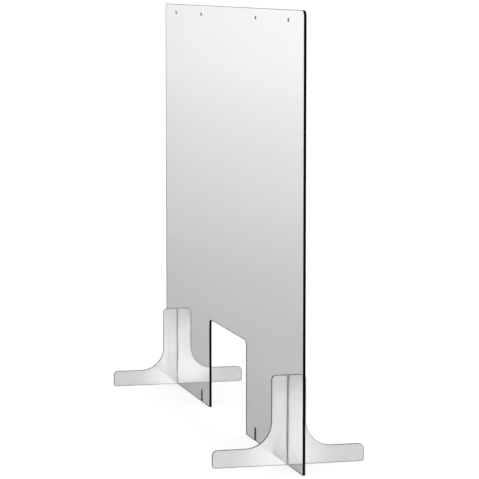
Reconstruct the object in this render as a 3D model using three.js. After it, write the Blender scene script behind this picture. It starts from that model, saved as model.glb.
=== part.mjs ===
// A free-standing clear screen for a desk or counter: one tall acrylic sheet with a pass-through
// cut-out in its bottom edge, standing in two identical slotted feet cut from the same sheet.
//
// Millimetres, +Z up. The origin is on the desk, under the middle of the screen.
// +X runs along the screen's width and +Y through its thickness.

import * as THREE from 'three';

// Sheet stock
const SHEET_THICKNESS = 5.6; // acrylic sold as 1/4 in
const EDGE_BREAK = 0.4; // chamfer left on both faces by edge polishing
const SLIP_FIT = 0.7; // how much wider than the sheet a notch or slot is

// Screen
const SCREEN_WIDTH = 1219.2; // 48 in
const SCREEN_HEIGHT = 914.4; // 36 in
const SCREEN_TOP_CORNER_RADIUS = 12.7;
const SCREEN_BOTTOM_CORNER_RADIUS = 3;

// Pass-through, open at the bottom edge
const PASS_THROUGH_WIDTH = 330.2; // 13 in
const PASS_THROUGH_HEIGHT = 203.2; // 8 in
const PASS_THROUGH_CORNER_RADIUS = 12.7;

// Notches in the bottom edge that straddle a foot: an outer pair that holds the feet and an inner
// pair that can hold them instead. A hanging hole is drilled above each notch.
const OUTER_NOTCH_FROM_SIDE = 114.3; // 4 1/2 in
const INNER_NOTCH_FROM_SIDE = 368.3; // 14 1/2 in
const NOTCH_HEIGHT = 28;
const HANGING_HOLE_RADIUS = 3.175; // 1/4 in drill
const HANGING_HOLE_BELOW_TOP = 20.3;

// Feet
const FOOT_LENGTH = 317.5; // 12 1/2 in, front to back
const FOOT_HEIGHT = 184.15; // 7 1/4 in
const FOOT_UPRIGHT_WIDTH = 72;
const FOOT_ARM_HEIGHT = 36.5;
const FOOT_FILLET_RADIUS = 54;
const FOOT_UPRIGHT_CORNER_RADIUS = 9.5;
const FOOT_ARM_TOP_CORNER_RADIUS = 11;
const FOOT_ARM_BOTTOM_CORNER_RADIUS = 6;
const FOOT_SLOT_MOUTH_RADIUS = 1;
const FOOT_WEB_HEIGHT = 27.4; // what is left under the slot; the screen's notch clears it

// Fineness of round stretches: segments in each rounded corner or hole are twice this
const CURVE_SEGMENTS = 8;

const NOTCH_WIDTH = SHEET_THICKNESS + SLIP_FIT;
const OUTER_NOTCH_X = SCREEN_WIDTH / 2 - OUTER_NOTCH_FROM_SIDE;
const INNER_NOTCH_X = SCREEN_WIDTH / 2 - INNER_NOTCH_FROM_SIDE;

const clearAcrylic = (color) =>
  new THREE.MeshStandardMaterial({
    color,
    roughness: 0.06,
    metalness: 0,
    transparent: true,
    opacity: 0.35,
    side: THREE.DoubleSide,
  });

/** A corner of an outline at (x, y), to be rounded to radius r. */
const corner = (x, y, r = 0) => ({ point: new THREE.Vector2(x, y), r });

/** The mirror image of a run of corners in the y axis, in the order that continues the outline. */
const mirrored = (corners) => corners.map(({ point, r }) => corner(-point.x, point.y, r)).reverse();

/** Adds one corner to a shape, as an arc that is tangent to both of its sides. */
function addCorner(shape, { point, r }, before, after) {
  if (r === 0) {
    shape.lineTo(point.x, point.y);
    return;
  }
  const toBefore = before.point.clone().sub(point).normalize();
  const toAfter = after.point.clone().sub(point).normalize();
  const halfAngle = Math.acos(toBefore.dot(toAfter)) / 2;
  const setback = r / Math.tan(halfAngle);
  const inward = toBefore.clone().add(toAfter).normalize();
  const centre = point.clone().addScaledVector(inward, r / Math.sin(halfAngle));
  const start = point.clone().addScaledVector(toBefore, setback).sub(centre);
  const end = point.clone().addScaledVector(toAfter, setback).sub(centre);
  const clockwise = toBefore.cross(toAfter) > 0;
  shape.absarc(centre.x, centre.y, r, start.angle(), end.angle(), clockwise);
}

/** A closed shape through the corners, each rounded to its own radius. The first stays square. */
function roundedShape(corners) {
  const shape = new THREE.Shape();
  const count = corners.length;
  shape.moveTo(corners[0].point.x, corners[0].point.y);
  for (let i = 1; i < count; i += 1) {
    addCorner(shape, corners[i], corners[i - 1], corners[(i + 1) % count]);
  }
  shape.closePath();
  return shape;
}

/** Cuts a shape from the sheet and stands it up in the XZ plane, centred on y = 0. */
function standingSheet(name, shape, material) {
  const geometry = new THREE.ExtrudeGeometry(shape, {
    depth: SHEET_THICKNESS - 2 * EDGE_BREAK,
    curveSegments: CURVE_SEGMENTS,
    bevelEnabled: true,
    bevelThickness: EDGE_BREAK,
    bevelSize: EDGE_BREAK,
    bevelOffset: -EDGE_BREAK,
    bevelSegments: 1,
  });
  geometry.translate(0, 0, EDGE_BREAK - SHEET_THICKNESS / 2);
  const mesh = new THREE.Mesh(geometry, material);
  mesh.name = name;
  mesh.rotation.x = Math.PI / 2;
  return mesh;
}

/** The four corners of a notch in the bottom edge, from left to right. */
function notch(centreX) {
  const left = centreX - NOTCH_WIDTH / 2;
  const right = centreX + NOTCH_WIDTH / 2;
  return [corner(left, 0), corner(left, NOTCH_HEIGHT), corner(right, NOTCH_HEIGHT), corner(right, 0)];
}

/** A round hole near the top edge, for a hook or a cord. */
function hangingHole(x) {
  const hole = new THREE.Path();
  hole.absarc(x, SCREEN_HEIGHT - HANGING_HOLE_BELOW_TOP, HANGING_HOLE_RADIUS, 0, 2 * Math.PI, true);
  return hole;
}

/** The screen: right half of its outline from the middle of the pass-through, then its mirror. */
function buildScreen() {
  const side = SCREEN_WIDTH / 2;
  const opening = PASS_THROUGH_WIDTH / 2;
  const rightHalf = [
    corner(opening, PASS_THROUGH_HEIGHT, PASS_THROUGH_CORNER_RADIUS),
    corner(opening, 0, SCREEN_BOTTOM_CORNER_RADIUS),
    ...notch(INNER_NOTCH_X),
    ...notch(OUTER_NOTCH_X),
    corner(side, 0, SCREEN_BOTTOM_CORNER_RADIUS),
    corner(side, SCREEN_HEIGHT, SCREEN_TOP_CORNER_RADIUS),
  ];
  const middleOfOpening = corner(0, PASS_THROUGH_HEIGHT);
  const shape = roundedShape([middleOfOpening, ...rightHalf, ...mirrored(rightHalf)]);
  for (const x of [-OUTER_NOTCH_X, -INNER_NOTCH_X, INNER_NOTCH_X, OUTER_NOTCH_X]) {
    shape.holes.push(hangingHole(x));
  }
  return standingSheet('privacy_screen', shape, clearAcrylic(0xdfe2e4));
}

/** One foot: a low arm front and back, and a slotted upright that the screen slides down into. */
function buildFoot(name, x) {
  const end = FOOT_LENGTH / 2;
  const upright = FOOT_UPRIGHT_WIDTH / 2;
  const slot = NOTCH_WIDTH / 2;
  const rightHalf = [
    corner(end, 0, FOOT_ARM_BOTTOM_CORNER_RADIUS),
    corner(end, FOOT_ARM_HEIGHT, FOOT_ARM_TOP_CORNER_RADIUS),
    corner(upright, FOOT_ARM_HEIGHT, FOOT_FILLET_RADIUS),
    corner(upright, FOOT_HEIGHT, FOOT_UPRIGHT_CORNER_RADIUS),
    corner(slot, FOOT_HEIGHT, FOOT_SLOT_MOUTH_RADIUS),
    corner(slot, FOOT_WEB_HEIGHT),
  ];
  const middleOfBase = corner(0, 0);
  const shape = roundedShape([middleOfBase, ...rightHalf, ...mirrored(rightHalf)]);
  const crosswise = new THREE.Group();
  crosswise.position.x = x;
  crosswise.rotation.z = Math.PI / 2;
  crosswise.add(standingSheet(name, shape, clearAcrylic(0xe6e8ea)));
  return crosswise;
}

const group = new THREE.Group();
group.add(buildScreen());
group.add(buildFoot('left_foot', -OUTER_NOTCH_X));
group.add(buildFoot('right_foot', OUTER_NOTCH_X));

export default group;
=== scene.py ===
"""Desk privacy panel: a clear acrylic screen in two slotted feet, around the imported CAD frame.

Every size comes from the frame: each sheet's outline is read off its CAD node, and the sheet is
built again with rounded, polished edges. Metres, +Z up, the frame's own origin and axes.
"""

from math import atan2, cos, pi, radians, sin, tan

import bmesh
import bpy
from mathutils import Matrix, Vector
from mathutils.geometry import tessellate_polygon


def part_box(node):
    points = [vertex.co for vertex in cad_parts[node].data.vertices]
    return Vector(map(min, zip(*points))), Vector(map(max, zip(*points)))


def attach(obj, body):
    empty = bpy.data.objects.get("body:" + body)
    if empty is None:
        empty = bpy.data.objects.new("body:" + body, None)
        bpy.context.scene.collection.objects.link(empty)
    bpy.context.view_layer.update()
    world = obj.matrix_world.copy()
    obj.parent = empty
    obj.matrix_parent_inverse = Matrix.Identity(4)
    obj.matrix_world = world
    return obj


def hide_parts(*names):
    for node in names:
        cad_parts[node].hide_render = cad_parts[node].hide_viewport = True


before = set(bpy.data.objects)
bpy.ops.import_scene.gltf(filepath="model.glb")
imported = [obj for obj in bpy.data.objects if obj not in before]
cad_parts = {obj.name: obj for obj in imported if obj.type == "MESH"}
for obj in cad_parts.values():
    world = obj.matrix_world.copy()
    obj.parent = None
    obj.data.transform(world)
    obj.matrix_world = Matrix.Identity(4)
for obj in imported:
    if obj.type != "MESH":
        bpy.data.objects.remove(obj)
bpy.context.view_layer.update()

X, Y = 0, 1
CUT_EDGE = 1  # index of a sheet's cut-edge material; its clear faces have material 0

# Sheets: CAD node, the body it rides on, the material slot, and the axis its thickness runs along
SHEETS = (
    ("privacy_screen", "panel", "screen_sheet", Y),
    ("left_foot", "left_foot", "foot_sheet", X),
    ("right_foot", "right_foot", "foot_sheet", X),
)
EDGE_ROUND = 0.0008  # radius that polishing leaves along both faces' edges
EDGE_ROUND_STEPS = 4
CORNER_ROUND = 0.0012  # radius of the outline's square corners
CORNER_ROUND_STEPS = 4
SQUARE_TURN = radians(40)  # an outline turning more than this at one point has a square corner
ARC_TURN = radians(0.5)  # and one turning less than this is straight
ARC_EVENNESS = 0.05  # an arc's neighbouring steps differ in length by less than this share
ARC_PASSES = 2  # each pass halves the steps of the outline's arcs
WELD_DISTANCE = 1e-6
LEVEL_DIGITS = 6
LEVEL_TOLERANCE = 1e-5

# Acrylic. Every scale is the number of blobs in a metre.
ACRYLIC_IOR = 1.49
HAZE_SCALE = 5.0
HAZE_SHARE = 0.985  # the darkest haze, as a share of the tint
WIPING_SCALE = 70.0
WIPING_STRETCH = (1, 1, 0.12)  # drawn out up and down
WIPING_DETAIL = 6.0
RIPPLE_SCALE = 11.0
RIPPLE_DETAIL = 1.0
RIPPLE_HEIGHT = 0.00008

# Cut edges
SAW_MARK_SCALE = 900.0
SAW_MARK_STRETCH = 0.02  # drawn out from face to face
SAW_MARK_DEPTH = 0.00002
PATCH_SCALE = 40.0
EDGE_ROUGHNESS = (0.35, 0.6)
EDGE_SPECULAR = 0.03

# Camera
CAMERA_AZIMUTH = radians(75.55)
CAMERA_ELEVATION = radians(6.34)
CAMERA_DISTANCE = 5.213
CAMERA_AIM = Vector((0.0, 0.0257, 0.4032))
CAMERA_LENS_MM = 177.7
CAMERA_SENSOR_MM = 36.0

# Studio
WHITE = (1, 1, 1, 1)
FLOOR_HALF_WIDTH = 120.0
FLOOR_BASE = 0.25
FLOOR_GLOW = 0.72  # keeps the floor white under the screen
CLIP_END = 4 * FLOOR_HALF_WIDTH
# The dome's brightness at each rise, the sine of the elevation. It is split at the horizon, where
# it jumps, because a colour ramp is too coarse for a jump.
DOME_BELOW = (
    (-0.19, 0.1),
    (-0.15, 0.21),
    (-0.125, 0.40),
    (-0.058, 1.30),
    (-0.036, 1.66),
    (0.0, 1.9),
)
DOME_ABOVE = (
    (0.0, 1.08),
    (0.09, 1.08),
    (0.13, 1.9),
    (0.2, 1.6),
    (0.4, 0.5),
    (0.93, 0.5),
    (0.97, 9.0),
    (1.0, 9.0),
)
# Below the horizon the dome is brighter on one side: the direction across it, how far the change
# reaches each way, and the share of its brightness at the two ends
SWING_TURN = radians(14.45)
SWING_AXIS = (sin(SWING_TURN), -cos(SWING_TURN), 0)
SWING_REACH = 0.09
SWING = (0.55, 1.3)
# Oval lamps below floor level, hidden from the camera, so that they show only in and through the
# sheets: middle, reach across and up, brightness
LAMPS = (
    (Vector((5.35, 1.34, -1.0)), (0.25, 0.36), 9.5),
    (Vector((5.35, -1.49, -0.72)), (0.38, 0.56), 32.0),
    (Vector((5.36, -1.4, -0.88)), (0.2, 0.2), 34.0),
)


# ---------------------------------------------------------------- sheets


def outline_loops(node, axis):
    """The closed outlines of a CAD sheet's side walls, as 2-D points across the given axis."""
    bm = bmesh.new()
    bm.from_mesh(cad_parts[node].data)
    bmesh.ops.remove_doubles(bm, verts=bm.verts, dist=WELD_DISTANCE)
    wall_level = sorted({round(v.co[axis], LEVEL_DIGITS) for v in bm.verts})[-2]
    on_level = {v for v in bm.verts if abs(v.co[axis] - wall_level) < LEVEL_TOLERANCE}
    ring = [e for e in bm.edges if all(v in on_level for v in e.verts)]
    flat = [i for i in range(3) if i != axis]
    neighbours = {}
    for edge in ring:
        a, b = edge.verts
        neighbours.setdefault(a, []).append(b)
        neighbours.setdefault(b, []).append(a)
    loops = []
    unused = dict.fromkeys(neighbours)
    while unused:
        start = next(iter(unused))
        loop = [start]
        del unused[start]
        while True:
            ahead = [v for v in neighbours[loop[-1]] if v in unused]
            if not ahead:
                break
            loop.append(ahead[0])
            del unused[ahead[0]]
        loops.append([Vector((v.co[flat[0]], v.co[flat[1]])) for v in loop])
    bm.free()
    return loops


def signed_area(loop):
    return sum(a.cross(b) for a, b in zip(loop, loop[1:] + loop[:1])) / 2


def wound(loops):
    """The loops with the outer one first and anticlockwise, and the holes clockwise."""
    loops = sorted(loops, key=lambda loop: -abs(signed_area(loop)))
    return [
        loop if (signed_area(loop) > 0) == (i == 0) else loop[::-1] for i, loop in enumerate(loops)
    ]


def smoothed(loop):
    """The loop with a point added in the middle of each step of its arcs."""
    count = len(loop)
    sides = [loop[(i + 1) % count] - loop[i] for i in range(count)]
    turns = [atan2(sides[i - 1].cross(sides[i]), sides[i - 1].dot(sides[i])) for i in range(count)]
    result = []
    for i, (point, side) in enumerate(zip(loop, sides)):
        result.append(point)
        ahead = (i + 1) % count
        for corner, other in ((i, i - 1), (ahead, ahead)):
            even = abs(sides[other].length / side.length - 1) < ARC_EVENNESS
            if even and ARC_TURN < abs(turns[corner]) < SQUARE_TURN:
                bulge = Vector((side.y, -side.x)) / 2 * tan(turns[corner] / 4)
                result.append(point + side / 2 + bulge)
                break
    return result


def eased(loop):
    """The loop with each square corner replaced by a small arc."""
    result = []
    for before, point, after in zip(loop[-1:] + loop[:-1], loop, loop[1:] + loop[:1]):
        back = (before - point).normalized()
        ahead = (after - point).normalized()
        turn = pi - back.angle(ahead)
        if turn < SQUARE_TURN:
            result.append(point)
            continue
        half = (pi - turn) / 2
        centre = point + (back + ahead).normalized() * (CORNER_ROUND / sin(half))
        start = point + back * (CORNER_ROUND * cos(half) / sin(half)) - centre
        end = point + ahead * (CORNER_ROUND * cos(half) / sin(half)) - centre
        for step in range(CORNER_ROUND_STEPS + 1):
            t = step / CORNER_ROUND_STEPS
            blend = sin((1 - t) * turn) * start + sin(t * turn) * end
            result.append(centre + blend / sin(turn))
    return result


def outward(loop):
    """Each point's outward direction, for shading, and its inset step for one unit of inset."""
    directions = []
    steps = []
    for before, point, after in zip(loop[-1:] + loop[:-1], loop, loop[1:] + loop[:1]):
        sides = [point - before, after - point]
        normals = [Vector((s.y, -s.x)).normalized() for s in sides]
        blend = sum((n * s.length for n, s in zip(normals, sides)), Vector((0, 0)))
        directions.append(blend.normalized())
        miter = (normals[0] + normals[1]).normalized()
        steps.append(miter / miter.dot(normals[0]))
    return directions, steps


def edge_profile(thickness):
    """(inset, height, lean) of each ring of a sheet's edge, from the low face to the high one."""
    half = thickness / 2
    quarter = []
    for step in range(EDGE_ROUND_STEPS + 1):
        angle = pi / 2 * step / EDGE_ROUND_STEPS
        quarter.append((EDGE_ROUND * (1 - sin(angle)), EDGE_ROUND * (1 - cos(angle)) - half, angle))
    return quarter + [(inset, -height, pi - angle) for inset, height, angle in quarter[::-1]]


def flat_point(vert, flat):
    return Vector((vert.co[flat[0]], vert.co[flat[1]]))


def build_sheet(name, body, axis):
    """A flat sheet with the outline and place of its CAD node, and polished round edges."""
    low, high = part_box(name)
    middle = (low[axis] + high[axis]) / 2
    thickness = high[axis] - low[axis]
    flat = [i for i in range(3) if i != axis]
    # (flat[0], flat[1], axis) is a right-handed set only for some axes; the sheet's own "up" is
    # along the axis or against it to match
    up = 1 if axis == X else -1

    def place(point, height):
        co = Vector((0, 0, 0))
        co[flat[0]], co[flat[1]], co[axis] = point.x, point.y, up * height
        return co

    loops = wound(outline_loops(name, axis))
    for _ in range(ARC_PASSES):
        loops = [smoothed(loop) for loop in loops]
    loops = [eased(loop) for loop in loops]
    profile = edge_profile(thickness)
    centre = Vector((0, 0, 0))
    centre[axis] = middle
    bm = bmesh.new()
    normals = []
    rings = []
    for loop in loops:
        directions, steps = outward(loop)
        rows = []
        for inset, height, lean in profile:
            row = []
            for point, direction, step in zip(loop, directions, steps):
                row.append(bm.verts.new(place(point - step * inset, height) + centre))
                normals.append(place(direction * sin(lean), -cos(lean)))
            rows.append(row)
        rings.append(rows)
    for rows in rings:
        for lower, upper in zip(rows, rows[1:]):
            for i, vert in enumerate(lower):
                j = (i + 1) % len(lower)
                bm.faces.new((vert, lower[j], upper[j], upper[i])).material_index = CUT_EDGE
    for side, order in ((0, -1), (-1, 1)):
        verts = [v for rows in rings for v in rows[side]]
        outlines = [[flat_point(v, flat).to_3d() for v in rows[side]] for rows in rings]
        for triangle in tessellate_polygon(outlines):
            corners = [verts[i] for i in triangle]
            a, b, c = (flat_point(v, flat) for v in corners)
            if ((b - a).cross(c - a) > 0) != (order > 0):
                corners.reverse()
            bm.faces.new(corners)
    for face in bm.faces:
        face.smooth = True
    mesh = bpy.data.meshes.new(name + "_sheet")
    bm.to_mesh(mesh)
    bm.free()
    mesh.normals_split_custom_set_from_vertices([tuple(n.normalized()) for n in normals])
    sheet = bpy.data.objects.new(name + "_sheet", mesh)
    bpy.context.scene.collection.objects.link(sheet)
    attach(sheet, body)
    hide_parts(name)
    return sheet


# ---------------------------------------------------------------- materials


def add(tree, kind, values=None, **settings):
    """A new node with its settings and inputs filled in; a socket given as an input is linked."""
    node = tree.nodes.new(kind)
    for setting, value in settings.items():
        setattr(node, setting, value)
    for key, value in (values or {}).items():
        if isinstance(value, bpy.types.NodeSocket):
            tree.links.new(value, node.inputs[key])
        else:
            node.inputs[key].default_value = value
    return node


def noise(tree, coordinates, scale, stretch=(1, 1, 1), detail=3.0):
    """Noise of about 0 to 1 with the given number of blobs in a metre, drawn out along an axis."""
    spread = add(tree, "ShaderNodeMapping", {"Vector": coordinates, "Scale": stretch})
    values = {"Vector": spread.outputs[0], "Scale": scale, "Detail": detail}
    return add(tree, "ShaderNodeTexNoise", values).outputs["Fac"]


def spread_between(tree, value, low, high, start=0.3, end=0.7):
    """The value from start to end, turned into low to high."""
    values = {"Value": value, "From Min": start, "From Max": end, "To Min": low, "To Max": high}
    return add(tree, "ShaderNodeMapRange", values).outputs[0]


def new_material(name):
    material = bpy.data.materials.new(name)
    material.use_nodes = True
    return material, material.node_tree, material.node_tree.nodes["Principled BSDF"]


def grey(tree, level):
    """A colour with the same level in all three channels."""
    return add(tree, "ShaderNodeCombineColor", {0: level, 1: level, 2: level}).outputs[0]


def sheet_face(name, tint, clearness, roughness):
    """Acrylic with slow ripples, a breath of uneven haze, and wiping marks in the gloss."""
    material, tree, shader = new_material(name)
    shader.inputs["IOR"].default_value = ACRYLIC_IOR
    shader.inputs["Transmission Weight"].default_value = clearness
    coordinates = tree.nodes.new("ShaderNodeTexCoord").outputs["Object"]
    haze = noise(tree, coordinates, HAZE_SCALE)
    tone = spread_between(tree, haze, tint * HAZE_SHARE, tint)
    tree.links.new(grey(tree, tone), shader.inputs["Base Color"])
    wiping = noise(tree, coordinates, WIPING_SCALE, WIPING_STRETCH, WIPING_DETAIL)
    tree.links.new(spread_between(tree, wiping, *roughness), shader.inputs["Roughness"])
    ripple = noise(tree, coordinates, RIPPLE_SCALE, detail=RIPPLE_DETAIL)
    values = {"Height": ripple, "Distance": RIPPLE_HEIGHT}
    tree.links.new(add(tree, "ShaderNodeBump", values).outputs[0], shader.inputs["Normal"])
    return material


def sheet_edge(name, axis, painted_shade_tones):
    """A cut edge: dull, painted dark as painted shade, with fine saw marks that cross it from face
    to face.
    """
    material, tree, shader = new_material(name)
    shader.inputs["IOR"].default_value = ACRYLIC_IOR
    shader.inputs["Specular IOR Level"].default_value = EDGE_SPECULAR
    coordinates = tree.nodes.new("ShaderNodeTexCoord").outputs["Object"]
    stretch = [1.0, 1.0, 1.0]
    stretch[axis] = SAW_MARK_STRETCH
    marks = noise(tree, coordinates, SAW_MARK_SCALE, stretch)
    patches = noise(tree, coordinates, PATCH_SCALE)
    # Painted shade: the base colour is painted near-black between these two tones, for the shade a
    # cut edge shows; the saw marks vary it
    tone = spread_between(tree, marks, *painted_shade_tones)
    tree.links.new(grey(tree, tone), shader.inputs["Base Color"])
    tree.links.new(spread_between(tree, patches, *EDGE_ROUGHNESS), shader.inputs["Roughness"])
    values = {"Height": marks, "Distance": SAW_MARK_DEPTH}
    tree.links.new(add(tree, "ShaderNodeBump", values).outputs[0], shader.inputs["Normal"])
    return material


# ---------------------------------------------------------------- studio


def build_floor():
    """A white floor, partly lit from within, that reflections don't see."""
    mesh = bpy.data.meshes.new("floor")
    h = FLOOR_HALF_WIDTH
    mesh.from_pydata([(-h, -h, 0), (h, -h, 0), (h, h, 0), (-h, h, 0)], [], [(0, 1, 2, 3)])
    floor = bpy.data.objects.new("floor", mesh)
    floor.visible_glossy = False
    bpy.context.scene.collection.objects.link(floor)
    material, _, shader = new_material("pale_floor")
    shader.inputs["Base Color"].default_value = (FLOOR_BASE, FLOOR_BASE, FLOOR_BASE, 1)
    shader.inputs["Roughness"].default_value = 1.0
    shader.inputs["Specular IOR Level"].default_value = 0.0
    shader.inputs["Emission Color"].default_value = WHITE
    shader.inputs["Emission Strength"].default_value = FLOOR_GLOW
    mesh.materials.append(material)


def ramp(tree, value, stops):
    """A grey level that follows a value, straight between the (value, level) stops."""
    start, end = stops[0][0], stops[-1][0]
    scaled = add(tree, "ShaderNodeMapRange", {"Value": value, "From Min": start, "From Max": end})
    node = add(tree, "ShaderNodeValToRGB", {"Fac": scaled.outputs[0]})
    elements = node.color_ramp.elements
    while len(elements) < len(stops):
        elements.new(0.5)
    for element, (position, level) in zip(elements, stops):
        element.position = (position - start) / (end - start)
        element.color = (level, level, level, 1)
    return node.outputs["Color"]


def build_lamp(name, middle, reach, brightness):
    """A soft-edged oval of light that faces the sheets and adds to whatever is behind it."""
    y, z = reach
    mesh = bpy.data.meshes.new(name)
    mesh.from_pydata([(0, -y, -z), (0, -y, z), (0, y, z), (0, y, -z)], [], [(0, 1, 2, 3)])
    lamp = bpy.data.objects.new(name, mesh)
    lamp.location = middle
    lamp.visible_camera = False
    bpy.context.scene.collection.objects.link(lamp)
    material, tree, shader = new_material(name)
    material.cycles.emission_sampling = "NONE"
    tree.nodes.remove(shader)
    coordinates = tree.nodes.new("ShaderNodeTexCoord").outputs["Object"]
    values = {0: coordinates, 1: (0, 1 / y, 1 / z)}
    scaled = add(tree, "ShaderNodeVectorMath", values, operation="MULTIPLY")
    edge = add(tree, "ShaderNodeVectorMath", {0: scaled.outputs[0]}, operation="LENGTH")
    values = {
        "Value": edge.outputs["Value"],
        "From Min": 1.0,
        "From Max": 0.0,
        "To Max": brightness,
    }
    level = add(tree, "ShaderNodeMapRange", values, interpolation_type="SMOOTHSTEP")
    glow = add(tree, "ShaderNodeEmission", {"Strength": level.outputs[0]})
    clear = tree.nodes.new("ShaderNodeBsdfTransparent")
    both = add(tree, "ShaderNodeAddShader", {0: glow.outputs[0], 1: clear.outputs[0]})
    tree.links.new(both.outputs[0], tree.nodes["Material Output"].inputs["Surface"])
    mesh.materials.append(material)


def build_world():
    """A soft dome: bright near the horizon, dim higher up, darker well below, a softbox on top."""
    world = bpy.data.worlds.new("studio")
    bpy.context.scene.world = world
    world.use_nodes = True
    tree = world.node_tree
    direction = tree.nodes.new("ShaderNodeTexCoord").outputs["Generated"]
    rise = add(tree, "ShaderNodeSeparateXYZ", {0: direction}).outputs["Z"]
    values = {0: direction, 1: SWING_AXIS}
    sideways = add(tree, "ShaderNodeVectorMath", values, operation="DOT_PRODUCT")
    values = {
        "Value": sideways.outputs["Value"],
        "From Min": -SWING_REACH,
        "From Max": SWING_REACH,
        "To Min": SWING[0],
        "To Max": SWING[1],
    }
    swing = add(tree, "ShaderNodeMapRange", values, interpolation_type="SMOOTHSTEP")
    values = {0: ramp(tree, rise, DOME_BELOW), 1: swing.outputs[0]}
    low = add(tree, "ShaderNodeMath", values, operation="MULTIPLY")
    below = add(tree, "ShaderNodeMath", {0: rise, 1: 0.0}, operation="LESS_THAN")
    values = {0: below.outputs[0], 2: ramp(tree, rise, DOME_ABOVE), 3: low.outputs[0]}
    light = add(tree, "ShaderNodeMix", values, data_type="FLOAT").outputs[0]
    tree.nodes["Background"].inputs["Color"].default_value = WHITE
    tree.links.new(light, tree.nodes["Background"].inputs["Strength"])


def build_camera():
    data = bpy.data.cameras.new("camera")
    data.lens = CAMERA_LENS_MM
    data.sensor_width = CAMERA_SENSOR_MM
    data.clip_end = CLIP_END
    camera = bpy.data.objects.new("camera", data)
    level = cos(CAMERA_ELEVATION)
    across = Vector((sin(CAMERA_AZIMUTH), -cos(CAMERA_AZIMUTH), 0)) * level
    away = across + Vector((0, 0, sin(CAMERA_ELEVATION)))
    camera.location = CAMERA_AIM + away * CAMERA_DISTANCE
    camera.rotation_euler = away.to_track_quat("Z", "Y").to_euler()
    bpy.context.scene.collection.objects.link(camera)
    bpy.context.scene.camera = camera


materials = {
    "screen_sheet": (
        sheet_face("screen_face", tint=0.6, clearness=1.0, roughness=(0.0, 0.04)),
        # the cut edges' dark tones are painted shade
        sheet_edge("screen_edge", axis=Y, painted_shade_tones=(0.0005, 0.005)),
    ),
    "foot_sheet": (
        sheet_face("foot_face", tint=0.85, clearness=0.53, roughness=(0.0, 0.03)),
        sheet_edge("foot_edge", axis=X, painted_shade_tones=(0.1, 0.2)),
    ),
}
for node, body, slot, axis in SHEETS:
    sheet = build_sheet(node, body, axis)
    for material in materials[slot]:
        sheet.data.materials.append(material)
build_floor()
for number, lamp in enumerate(LAMPS):
    build_lamp("lamp_%d" % (number + 1), *lamp)
build_world()
build_camera()
bpy.context.scene.view_settings.view_transform = "Standard"
